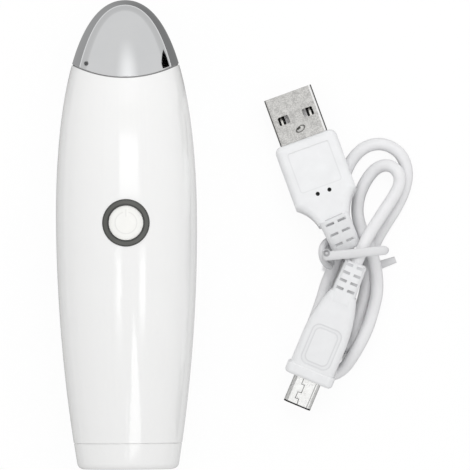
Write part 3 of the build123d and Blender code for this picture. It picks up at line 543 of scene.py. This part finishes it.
def large_shell_steel():
    """Speckled plating, with the dark outline of a stamped catch, painted shade along both side edges and a
    painted highlight just inside the left one.
    """
    finish = plated("large_shell_steel", (0.74, 0.732, 0.712), 0.32, 0.3 * MM, 0.6)
    x, s, z = finish.local(large_tip, large_turn)
    base = finish.base()
    cosine, sine = catch_turn
    across = x * cosine + (s - catch_place * MM) * sine
    along = (s - catch_place * MM) * cosine - x * sine
    oval = ((across / catch_size[0]) ** 2 + (along / catch_size[1]) ** 2) ** 0.5
    ring = abs(oval - 1.0 * MM).between(0.26 * MM, 0.1 * MM)
    hook = abs(across - 0.25 * MM).between(0.55 * MM, 0.4 * MM)
    hook = hook * abs(along + 0.32 * MM).between(0.3 * MM, 0.15 * MM)
    marks_and_painted_shade = (ring * 0.75 + hook * 0.9).clamped() * z.between(1.9 * MM, 2.0 * MM)
    # Painted shade along both side edges, and a painted highlight in a band just inside the left one.
    edge = abs(x).between(5.66 * MM, 5.8 * MM)
    painted_highlight = x.between(-5.2 * MM, -5.35 * MM) * (edge * -1.0 + 1.0)
    face = finish.blend(painted_highlight * 0.8, base, (1.0, 1.0, 1.0))
    marks_and_painted_shade = marks_and_painted_shade.maths("MAXIMUM", marks_and_painted_shade, edge * 0.8)
    return finish.set(Base_Color=finish.blend(marks_and_painted_shade, face, (0.03, 0.03, 0.025)))


def small_shell_steel():
    """Bright plating, with the dovetailed joint of the folded sheet, and painted shade in the mouth, along
    the two folds, down the sides and next to the body.
    """
    finish = plated("small_shell_steel", (0.97, 0.97, 0.955), 0.28)
    x, s, z = finish.local(small_tip, small_turn)
    base = finish.base()
    joint = finish.stroke(x, s, small_seam, 0.13) * z.between(0.6 * MM, 0.7 * MM) * 0.75
    # Painted shade: in the mouth, along the two folds, down the sides and next to the body.
    painted_mouth_shade = s.between(0.42 * MM, 0.3 * MM)
    left_fold_shade = abs(x + 2.62 * MM).between(0.2 * MM, 0.06 * MM) * 0.45
    right_fold_shade = abs(x - 2.35 * MM).between(0.2 * MM, 0.06 * MM) * 0.5
    side = abs(x).between(3.1 * MM, 3.3 * MM) * 0.35 + s.between(6.6 * MM, 7.1 * MM) * 0.25
    marks_and_painted_shade = joint.maths("MAXIMUM", joint, painted_mouth_shade)
    marks_and_painted_shade = marks_and_painted_shade.maths("MAXIMUM", marks_and_painted_shade, left_fold_shade + right_fold_shade + side)
    return finish.set(Base_Color=finish.blend(marks_and_painted_shade, base, near_black))


def grooved_insulator():
    """Pale tongue, with painted shade down the grooves of its contacts."""
    finish = moulded("large_insulator", (0.93, 0.92, 0.925), 0.5)
    x, s, z = finish.local(large_tip, large_turn)
    base = finish.base()
    # Painted shade down the contacts' grooves.
    painted_groove_shade = z.between(-0.15 * MM, -0.3 * MM) * s.between(0.6 * MM, 0.8 * MM)
    return finish.set(Base_Color=finish.blend(painted_groove_shade, base, (0.01, 0.01, 0.01)))


def frame_lines(x, s, half, low, high, corner, width):
    """1 on the outline of a rounded rectangle, 0 beside it."""
    middle, reach = (low + high) / 2, (high - low) / 2 - corner
    across = abs(x) - (half - corner) * MM
    along = abs(s - middle * MM) - reach * MM
    across = across.maths("MAXIMUM", across, 0.0)
    along = along.maths("MAXIMUM", along, 0.0)
    return abs((across ** 2 + along ** 2) ** 0.5 - corner * MM).between(width * MM, width / 3 * MM)


pin_hole_place = (1.5, 26.2)           # from the plug's middle line and mouth, mm
panel_box = (5.2, 14.6, 24.8, 0.7)     # half width, start, end and corner radius, mm
outer_frame = (3.7, 10.6, 20.8, 1.8)
inner_frame = (2.9, 11.4, 20.0, 1.4)


def large_overmould():
    """Matt moulding with painted shade along the outline of a faint recessed face and down its two moulding
    holes.
    """
    finish = moulded("large_overmould", lead_white, 0.42)
    x, s, z = finish.local(large_tip, large_turn)
    base = finish.base()
    aside = ((abs(x) - pin_hole_place[0] * MM) ** 2 + (s - pin_hole_place[1] * MM) ** 2) ** 0.5
    # Painted shade down the two moulding holes and along the recessed outline.
    painted_hole_shade = aside.between(0.56 * MM, 0.52 * MM) * z.between(3.48 * MM, 3.4 * MM)
    painted_panel_shade = frame_lines(x, s, *panel_box, 0.22) * z.between(3.1 * MM, 3.3 * MM) * 0.07
    lined = finish.blend(painted_panel_shade, base, (0.0, 0.0, 0.0))
    return finish.set(Base_Color=finish.blend(painted_hole_shade, lined, near_black))


def small_overmould():
    """Matt moulding with painted shade along a faint double frame on its faces."""
    finish = moulded("small_overmould", lead_white, 0.42)
    x, s, z = finish.local(small_tip, small_turn)
    base = finish.base()
    outer = frame_lines(x, s, *outer_frame, 0.24)
    inner = frame_lines(x, s, *inner_frame, 0.24)
    # Painted shade along the edges of the moulded double frame.
    painted_frame_shade = outer.maths("MAXIMUM", outer, inner) * z.between(2.5 * MM, 2.7 * MM) * 0.13
    return finish.set(Base_Color=finish.blend(painted_frame_shade, base, (0.1, 0.1, 0.12)))


def relief_moulding(name, exit_point, next_point, half_thickness, length):
    """Matt moulding with painted shade down the slots of a strain relief."""
    finish = moulded(name, lead_white, 0.42)
    along = (Vector(exit_point) - Vector(next_point)).normalized()
    across = along.cross(Vector((0, 0, 1))).normalized()
    axes = Matrix((across, along.cross(across), along)).transposed()
    x, y, z = finish.local(exit_point, tuple(axes.to_euler()))
    base = finish.base()
    face = z * (0.35 / length) + (half_thickness - 0.35) * MM
    # Painted shade in the slots, where they lie deeper than the outer face.
    painted_slot_shade = (face - abs(y)).between(0.25 * MM, 0.5 * MM)
    inside = abs(x).between(2.4 * MM, 2.2 * MM) * z.between(0.2 * MM, 0.3 * MM)
    return finish.set(Base_Color=finish.blend(painted_slot_shade * inside * 0.5, base, (0.30, 0.30, 0.31)))


def tie_coating():
    """Soft coating with painted shade in a ring round the end of its wire."""
    finish = moulded("tie_coating", (0.72, 0.72, 0.73), 0.42)
    x, y, z = finish.split()
    base = finish.base()
    around = ((x - wire_end[0] * MM) ** 2 + (y - wire_end[1] * MM) ** 2) ** 0.5
    # Painted shade round the wire's end: a dark ring with a lighter middle.
    rim = abs(around - 0.58 * MM).between(0.36 * MM, 0.12 * MM) * 0.6
    inside = around.between(0.6 * MM, 0.4 * MM) * 0.2
    gap = (rim + inside) * z.between(5.4 * MM, 6.2 * MM)
    return finish.set(Base_Color=finish.blend(gap, base, (0.16, 0.16, 0.17)))


def circuit_board():
    """Green lacquer over copper tracks."""
    finish = Finish("board_green", Coat_Weight=0.4, Coat_Roughness=0.15)
    x, y, z = finish.split()
    wander = finish.noise(2.5 * MM, 1.0) * 3 * MM
    lanes = (y + wander).maths("PINGPONG", y + wander, 0.45 * MM)
    tracks = lanes.between(0.24 * MM, 0.3 * MM)
    cloud = finish.noise(2 * MM, 3.0)
    lacquer = finish.blend(cloud, (0.012, 0.13, 0.05), (0.016, 0.17, 0.065))
    finish.set(Base_Color=finish.blend(tracks, lacquer, (0.05, 0.28, 0.12)))
    finish.set(Roughness=cloud * 0.1 + 0.3)
    return finish.bump(tracks, 0.02 * MM, 0.5)


def heater_track():
    """Amber film over a zigzag of etched metal."""
    finish = Finish("amber_film", Coat_Weight=0.3, Coat_Roughness=0.2)
    x, y, z = finish.split()
    lanes = y.maths("PINGPONG", y, 0.8 * MM)
    track = lanes.between(0.35 * MM, 0.42 * MM)
    cloud = finish.noise(3 * MM, 2.0)
    film = finish.blend(cloud, (0.58, 0.25, 0.04), (0.66, 0.32, 0.06))
    finish.set(Base_Color=finish.blend(track, film, (0.35, 0.17, 0.06)))
    finish.set(Roughness=cloud * 0.1 + 0.25)
    return finish.bump(track, 0.02 * MM, 0.5)


def cell_wrap():
    """Blue shrink sleeve with fine wrinkles."""
    finish = Finish("cell_wrap", Coat_Weight=0.3, Coat_Roughness=0.2)
    cloud = finish.noise(5 * MM, 3.0)
    wrinkles = finish.noise(0.8 * MM, 4.0, 0.7)
    finish.set(Base_Color=finish.blend(cloud, (0.05, 0.14, 0.36), (0.07, 0.19, 0.44)))
    finish.set(Roughness=wrinkles * 0.2 + 0.22)
    return finish.bump(wrinkles, 0.05 * MM, 0.5)


def dark_ring():
    """Grey bezel with painted shade along its two edges."""
    finish = moulded("dark_ring", (0.092, 0.094, 0.086), 0.3)
    x, y, z = finish.split()
    base = finish.base()
    around = ((x - button_place[0] * MM) ** 2 + (y - button_place[1] * MM) ** 2) ** 0.5
    # Painted shade along the outer and inner edges.
    edge = around.between(5.2 * MM, 5.6 * MM) + around.between(4.75 * MM, 4.35 * MM)
    return finish.set(Base_Color=finish.blend(edge * 0.7, base, (0.012, 0.012, 0.012)))


sign_radius = 2.6              # mm
stroke_centre = 2.4
stroke_half = 0.95


def button_face():
    """Satin disc with painted shade in place of a faint raised ring and stroke, the common symbol for power.
    """
    finish = moulded("button_plastic", (0.93, 0.93, 0.90), 0.3)
    x, y, z = finish.split()
    base = finish.base()
    across, along = x - button_place[0] * MM, y - button_place[1] * MM
    around = (across ** 2 + along ** 2) ** 0.5
    gap = abs(across).between(0.55 * MM, 0.75 * MM)
    below = along.between(0.3 * MM, 0.0 * MM)
    ring = abs(around - sign_radius * MM).between(0.2 * MM, 0.08 * MM) * gap.maths("MAXIMUM", gap, below)
    height = abs(along - stroke_centre * MM).between(stroke_half * MM, (stroke_half - 0.1) * MM)
    stroke = abs(across).between(0.2 * MM, 0.08 * MM) * height
    # The ring and stroke are painted darker, as the shade of a raised symbol.
    painted_sign_shade = ring.maths("MAXIMUM", ring, stroke) * 0.5
    return finish.set(Base_Color=finish.blend(painted_sign_shade, base, (0.74, 0.74, 0.72)))


polished_metal().on(dome)
glossy_white("white_casing").on("front_shell", "back_shell")
glossy_white("white_cap", ripple=0.05 * MM).on("base_cap", cap_lip)
moulded("seal_rubber", (0.26, 0.26, 0.26), 0.7).on("head_seal", "motor_boot", "cap_ring")
dark_ring().on("button_ring")
button_face().on("button_cap")
moulded("inner_plastic", (0.70, 0.70, 0.69), 0.5).on(
    "head_carrier", "motor_cradle", "chassis", "end_plate")
moulded("foam", (0.10, 0.10, 0.10), 0.95, 0.4 * MM, 0.1 * MM).on("insulating_pad", "battery_foam")
heater_track().on("heater_film")
plated("aluminium", (0.80, 0.80, 0.81), 0.35).on("heat_spreader")
moulded("glass_bead", (0.70, 0.35, 0.15), 0.1).on("thermistor")
plated("steel", (0.62, 0.62, 0.63)).on("motor_can", "motor_shaft", "eccentric_weight", "battery_tabs")
plated("screw_steel", (0.50, 0.50, 0.52), 0.35).on("board_screws", "chassis_screws", "end_screws")
moulded("switch_black", (0.03, 0.03, 0.03), 0.4).on("switch_body", "switch_plunger")
moulded("clear_plastic", (0.85, 0.87, 0.90), 0.15).on("light_guide")
moulded("lamp_resin", (0.85, 0.78, 0.40), 0.2).on("indicator_lights")
circuit_board().on("main_board", "usb_board")
moulded("chip_black", (0.03, 0.03, 0.035), 0.5).on("control_chip", "charge_chip")
moulded("ceramic", (0.45, 0.33, 0.22), 0.4).on("board_parts")
moulded("connector_white", (0.80, 0.79, 0.74), 0.45).on("lead_connectors")
cell_wrap().on("battery_cell")
moulded("wire_red", (0.50, 0.02, 0.01), 0.4).on("motor_leads", "heater_leads", "usb_leads")
plated("plated_steel", (0.74, 0.735, 0.71)).on("usb_socket_shell")
large_shell_steel().on("large_plug_shell")
small_shell_steel().on("small_plug_shell")
moulded("insulator", (0.05, 0.05, 0.05), 0.5).on("usb_socket_tongue", "small_plug_insulator")
grooved_insulator().on("large_plug_insulator")
plated("gold_contacts", (0.90, 0.66, 0.28), 0.25).on("small_plug_contacts")
plated("tinned_contacts", (0.90, 0.89, 0.85), 0.25).on("large_plug_contacts")
large_overmould().on(large_body)
small_overmould().on(small_body)
relief_moulding("large_relief", cable_route[0], cable_route[1], 2.9, 9.4).on("large_plug_relief")
relief_moulding("small_relief", cable_route[-1], cable_route[-2], 2.6, 10.4).on("small_plug_relief")
moulded("cable_jacket", (0.83, 0.83, 0.84), 0.38).on(cable)
tie_coating().on(tie)
for name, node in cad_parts.items():
    if name not in replaced_nodes:
        soften(node)
soften(large_body)
soften(small_body)


# ---- Studio -------------------------------------------------------------------------------------------
floor_side = 8.0
sky_level = 0.72               # brightness of the tent in reflections
fill_level = 0.845             # and as a light
card_height = 0.5              # of the cards overhead
mat_height = 0.1 * MM
floor_white = (0.82, 0.82, 0.82)
floor_glow = 0.93              # share of the floor's look that glows, so that only a soft shadow is left
gap_shadow = 0.8               # how much less it glows in the narrow gaps of the lead


def level_corners(across, along, height):
    """Corners of a level rectangle."""
    return [(across[0], along[0], height), (across[1], along[0], height), (across[1], along[1], height),
            (across[0], along[1], height)]


def flat_sheet(name, corners):
    """One flat face through the corners, in metres."""
    sheet = bmesh.new()
    sheet.faces.new([sheet.verts.new(corner) for corner in corners])
    data = bpy.data.meshes.new(name)
    sheet.to_mesh(data)
    sheet.free()
    piece = link(name, data)
    return piece


def seen_directly(finish):
    """1 for the rays that see the background itself: from the camera, off metal and through glass."""
    rays = finish.node("ShaderNodeLightPath").socket.node.outputs
    camera_ray = Value(finish, rays["Is Camera Ray"])
    glossy_ray = Value(finish, rays["Is Glossy Ray"])
    clear_ray = Value(finish, rays["Is Transmission Ray"])
    return (camera_ray + glossy_ray + clear_ray).clamped()


# Narrow gaps between the lead's strands, as lines with a width, in mm: there the floor's shadow is full.
lead_gaps = [([(52.3, -6.2), (51.0, -9.6), (49.4, -13.9)], 1.5), ([(52.3, -29.2), (52.9, -30.6)], 1.4),
             ([(48.3, -7.4), (47.9, -8.6)], 0.9)]


def make_floor():
    """Pale floor: white to the eye, but it still shows a soft shadow."""
    side = (-floor_side / 2, floor_side / 2)
    floor = flat_sheet("floor", level_corners(side, side, 0))
    finish = Finish("floor")
    tree = finish.material.node_tree
    tree.nodes.remove(finish.shader)
    plain = finish.node("ShaderNodeBsdfDiffuse", None, {"Color": floor_white})
    paper = finish.node("ShaderNodeBsdfDiffuse", None, {"Color": (1.0, 1.0, 1.0)})
    glow = finish.node("ShaderNodeEmission", None, {"Color": (1.0, 1.0, 1.0), "Strength": 1.0})
    x, y, z = finish.split()
    gaps = [finish.stroke(x, y, line, width) for line, width in lead_gaps]
    shaded = gaps[0].maths("MAXIMUM", gaps[0], gaps[1].maths("MAXIMUM", gaps[1], gaps[2]))
    white = finish.node("ShaderNodeMixShader", None, {0: floor_glow - shaded * gap_shadow, 1: paper, 2: glow})
    seen = finish.node("ShaderNodeMixShader", None, {0: seen_directly(finish), 1: plain, 2: white})
    tree.links.new(seen.socket, tree.nodes["Material Output"].inputs["Surface"])
    finish.on(floor)


def make_world():
    """Pale tent: grey in reflections and for the light, white behind the set."""
    world = bpy.data.worlds.new("studio")
    world.use_nodes = True
    bpy.context.scene.world = world
    tree = world.node_tree
    background = tree.nodes["Background"]
    rays = tree.nodes.new("ShaderNodeLightPath")
    tent = tree.nodes.new("ShaderNodeMix")
    tent.data_type = "RGBA"
    tent.inputs[6].default_value = (fill_level, fill_level, fill_level, 1)
    tent.inputs[7].default_value = (sky_level, sky_level, sky_level, 1)
    tree.links.new(rays.outputs["Is Glossy Ray"], tent.inputs[0])
    mix = tree.nodes.new("ShaderNodeMix")
    mix.data_type = "RGBA"
    mix.inputs[7].default_value = (1, 1, 1, 1)
    tree.links.new(tent.outputs[2], mix.inputs[6])
    tree.links.new(rays.outputs["Is Camera Ray"], mix.inputs[0])
    tree.links.new(mix.outputs[2], background.inputs["Color"])


def make_lamp(name, place, size, power, glossy=True):
    """Soft rectangular lamp aimed at the set."""
    lamp = bpy.data.lights.new(name, "AREA")
    lamp.shape = "RECTANGLE"
    lamp.size = size[0]
    lamp.size_y = size[1]
    lamp.energy = power
    piece = link(name, lamp)
    piece.location = place
    piece.rotation_euler = (-Vector(place)).to_track_quat("-Z", "Y").to_euler()
    piece.visible_glossy = glossy


def glossy_card(name, corners, level=1.0, shade=None):
    """Card that only shows in reflections, of one level or shaded by a function of its finish."""
    card = flat_sheet(name, corners)
    card.visible_camera = False
    card.visible_diffuse = False
    card.visible_shadow = False
    card.visible_transmission = False
    finish = Finish(name, Base_Color=(0, 0, 0), Specular_IOR_Level=0.0, Emission_Strength=1.0)
    finish.set(Emission_Color=shade(finish) if shade else (level, level, level))
    finish.on(card)
    return card


# Table as the reflections see it, in mm and in levels of brightness.
near_reach = 56.0              # the grey patch by the wand ends here, with a bright line round it
bright_line = 9.5              # width of that line
head_start = 37.5              # along the wand; from here on the patch is round
metal_start = (34, 38)         # the patch changes between these for the metal head
across_wand = (-24, 24)        # and from left to right between these
metal_levels = (0.36, 0.22)    # at the left and at the right
casing_levels = (0.44, 0.56)
lead_patch = ((40, 78), (-56, 44))
lead_soft = 2
lead_level_seen = 0.07
line_gain, far_gain, mat_level = 0.35, 0.13, 0.585


def mat_shade(finish):
    """Grey near the set, a bright line round that, then as the tent."""
    x, y, z = finish.split()
    beyond = (y - head_start * MM).maths("MAXIMUM", y - head_start * MM, 0.0)
    far = (x ** 2 + beyond ** 2) ** 0.5
    right = x.between(*(edge * MM for edge in across_wand))
    metal = y.between(*(edge * MM for edge in metal_start))
    on_metal = right * (metal_levels[1] - metal_levels[0]) + metal_levels[0]
    on_casing = right * (casing_levels[1] - casing_levels[0]) + casing_levels[0]
    near = metal * on_metal + (1 - metal) * on_casing
    lead = 1
    for value, (low, high) in zip((x, y), lead_patch):
        lead = value.between(low * MM, (low + lead_soft) * MM) * lead
        lead = value.between(high * MM, (high - lead_soft) * MM) * lead
    line = far.between((near_reach + bright_line + 0.5) * MM, (near_reach + 0.5) * MM)
    outer = line * line_gain + far.between(60 * MM, 500 * MM) * far_gain + mat_level
    wand = far.between(near_reach * MM, (near_reach - 0.8) * MM)
    level = outer + (near - outer) * wand
    return level + lead * (level * -1.0 + lead_level_seen)


streak_middle = 0.05
streak_level = 1.06


def streak_shade(finish):
    """Soft tall light high over the dome."""
    x, y, z = finish.split()
    aside, along = abs(x - streak_middle) / card_height, y / card_height
    light = aside.between(0.52, 0.0) * along.between(1.4, 0.5) ** 2
    return light * (streak_level - sky_level) + sky_level


# Outlines of two small cards that stand beside the dome, as (y, z) in mm.
dark_flag = [(68.2, 6.9), (64.3, 4.9), (60.2, 4.4), (56.9, 4.7), (56.4, 10.5), (59.3, 26.0),
             (62.5, 26.8), (64.8, 23.1), (67.1, 15.3)]
dark_spot = [(62.6, 24.5), (61.9, 24.5), (60.9, 22.8), (60.1, 19.8), (59.6, 16.2), (59.5, 12.9),
             (59.8, 10.9), (60.5, 10.8), (61.3, 12.8), (62.1, 16.1), (62.7, 19.7), (62.9, 22.8)]


def standing_card(name, side, outline, level):
    """Upright card facing sideways at the given x, in mm."""
    return glossy_card(name, [(side * MM, y * MM, z * MM) for y, z in outline], level)


def overhead_card(name, across, along, soft_across, soft_along, level):
    """Card overhead that fades into the tent at its four edges, each by its own width."""
    def shade(finish):
        x, y, z = finish.split()
        light = x.between(across[0], across[0] + soft_across[0])
        light = light * x.between(across[1], across[1] - soft_across[1])
        light = light * y.between(along[0], along[0] + soft_along[0])
        light = light * y.between(along[1], along[1] - soft_along[1])
        return light * (level - sky_level) + sky_level
    return glossy_card(name, level_corners(across, along, card_height), shade=shade)


make_floor()
make_world()
make_lamp("top_lamp", (0.06, 0.24, 0.36), (0.25, 0.25), 0.35, glossy=False)
make_lamp("key_lamp", (0.0, 0.75, 0.75), (0.5, 0.6), 0.5, glossy=False)
mat_reach = (-floor_side / 2, floor_side / 2)
glossy_card("mat", level_corners(mat_reach, mat_reach, mat_height), shade=mat_shade)
glossy_card("dome_streak", level_corners((-0.3, 0.4), (0.2, 0.8), card_height), shade=streak_shade)
standing_card("dark_flag", 58, dark_flag, 0.0)
standing_card("dark_spot", -58, dark_spot, 0.08)
overhead_card("upper_streak", (-0.09, 0.20), (0.03, 0.14), (0.02, 0.04), (0.02, 0.02), 2.3)
overhead_card("left_streak", (-0.175, -0.065), (-0.13, -0.02), (0.05, 0.02), (0.09, 0.02), 3.3)
overhead_card("right_streak", (0.165, 0.30), (-0.13, -0.02), (0.06, 0.02), (0.08, 0.02), 3.5)
lower_streak = [(0.088, -0.08), (0.10, -0.08), (0.275, -0.215), (0.03, -0.215)]
second_streak = [(-0.005, -0.14), (0.0, -0.14), (-0.01, -0.215), (-0.045, -0.215)]
glossy_card("lower_streak", [(*corner, card_height) for corner in lower_streak], 2.9)
glossy_card("second_streak", [(*corner, card_height) for corner in second_streak], 1.9)

scene = bpy.context.scene
scene.view_settings.view_transform = "Standard"
